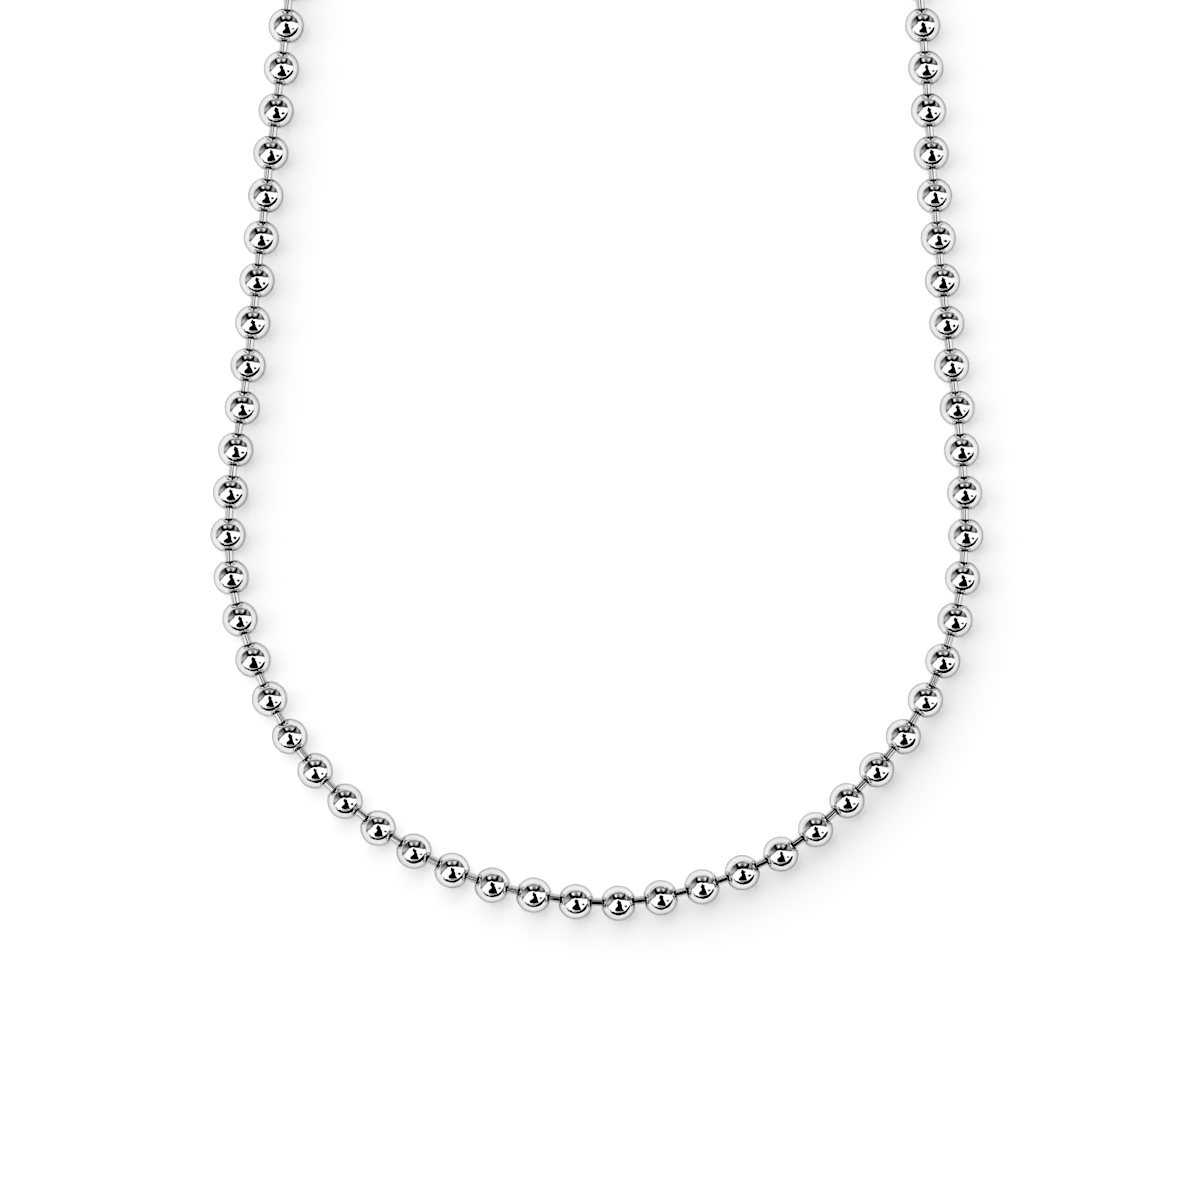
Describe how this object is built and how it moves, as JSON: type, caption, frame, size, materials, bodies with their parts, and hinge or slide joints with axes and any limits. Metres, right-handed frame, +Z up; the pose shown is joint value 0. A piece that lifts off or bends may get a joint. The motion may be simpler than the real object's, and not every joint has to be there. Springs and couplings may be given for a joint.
{
  "type": "ball chain necklace",
  "caption": "Closed loop of hollow polished metal balls joined by short headed pins, with a plain sleeve clasp, lying flat.",
  "frame": {"origin": "centre of the loop's outline, on the surface that the necklace lies on", "axes": "+X to the right strand seen from above, +Y from the front of the loop to the clasp at the back of the neck, +Z up from the surface"},
  "size_m": [0.1104, 0.2022, 0.006],
  "materials": {
    "ball_steel": "polished",
    "pin_steel": "polished",
    "clasp_steel": "polished"
  },
  "bodies": {
    "root": {"balls": "ball_steel", "link_pins": "pin_steel", "clasp": "clasp_steel"}
  },
  "joints": []
}
